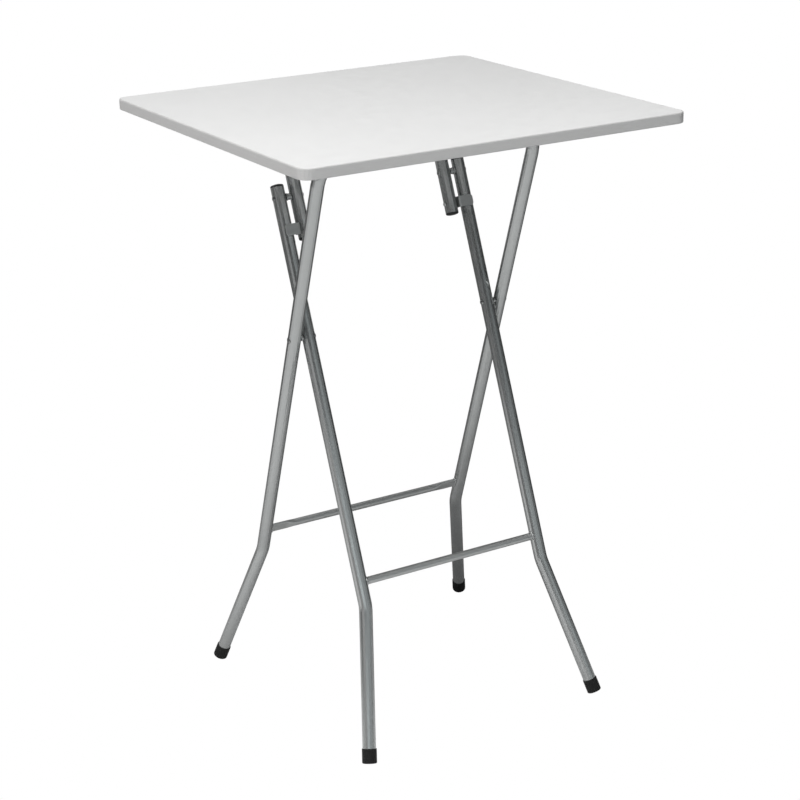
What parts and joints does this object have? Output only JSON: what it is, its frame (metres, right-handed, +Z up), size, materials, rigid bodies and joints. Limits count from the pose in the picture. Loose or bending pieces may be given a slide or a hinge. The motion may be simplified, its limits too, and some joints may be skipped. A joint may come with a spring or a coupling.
{
  "type": "folding bar-height table",
  "caption": "Standing-height table with a thin rounded square top on crossed steel tube frames that fold flat under the top.",
  "frame": {"origin": "on the floor under the middle of the top", "axes": "+X along the front edge of the top to the right, +Y from the front edge to the back edge, +Z up"},
  "size_m": [0.75, 0.7, 1.1],
  "materials": {
    "laminate": "light grey-white melamine laminate on a board, satin",
    "edge_band": "mid-grey plastic edge band, satin",
    "grey_paint": "silver-grey powder coat with a fine metallic grain",
    "zinc": "bright zinc plating",
    "black_plastic": "black moulded plastic, satin",
    "black_rubber": "black rubber, matte"
  },
  "bodies": {
    "tabletop": {"top_board": "laminate", "edge_band": "edge_band", "front_saddle_left": "zinc", "front_saddle_right": "zinc", "back_saddle_left": "zinc", "back_saddle_right": "zinc", "front_saddle_left_screw_front": "zinc", "front_saddle_left_screw_back": "zinc", "front_saddle_right_screw_front": "zinc", "front_saddle_right_screw_back": "zinc", "back_saddle_left_screw_front": "zinc", "back_saddle_left_screw_back": "zinc", "back_saddle_right_screw_front": "zinc", "back_saddle_right_screw_back": "zinc"},
    "outer_frame": {"outer_frame_tube": "grey_paint", "outer_crossbar": "grey_paint", "foot_cap_back_left": "black_rubber", "foot_cap_back_right": "black_rubber", "crossing_bolt_left": "zinc", "crossing_bolt_right": "zinc", "crossing_spacer_left": "zinc", "crossing_spacer_right": "zinc", "crossing_nut_left": "zinc", "crossing_nut_right": "zinc"},
    "inner_frame": {"inner_leg_left": "grey_paint", "inner_leg_right": "grey_paint", "inner_crossbar": "grey_paint", "leg_top_plug_left": "black_plastic", "leg_top_plug_right": "black_plastic", "foot_cap_front_left": "black_rubber", "foot_cap_front_right": "black_rubber", "arm_pivot_nut_left": "zinc", "arm_pivot_nut_right": "zinc"},
    "arm_bracket": {"arm_bracket_tube": "grey_paint", "arm_end_plug_left": "black_plastic", "arm_end_plug_right": "black_plastic", "arm_pivot_bolt_left": "zinc", "arm_pivot_bolt_right": "zinc", "arm_pivot_sleeve_left": "zinc", "arm_pivot_sleeve_right": "zinc", "stop_plate_left": "grey_paint", "stop_plate_right": "grey_paint", "stop_rivet_left": "grey_paint", "stop_rivet_right": "grey_paint"}
  },
  "joints": [
    {"name": "fold_hinge", "type": "hinge", "parent": "tabletop", "child": "outer_frame", "pos_m": [0, -0.1316, 1.0685], "axis": [1, 0, 0], "range_deg": [0, 58.5]},
    {"name": "crossing_pivot", "type": "hinge", "parent": "outer_frame", "child": "inner_frame", "pos_m": [0, -0.00869, 0.70998], "axis": [1, 0, 0], "range_deg": [0, 37.4]},
    {"name": "arm_hinge", "type": "hinge", "parent": "tabletop", "child": "arm_bracket", "pos_m": [0, 0.1325, 1.0685], "axis": [-1, 0, 0], "range_deg": [0, 62]}
  ],
  "couplings": [
    {"joint": "crossing_pivot", "follows": "fold_hinge", "ratio": 0.6391},
    {"joint": "arm_hinge", "follows": "fold_hinge", "ratio": 1.0589}
  ]
}
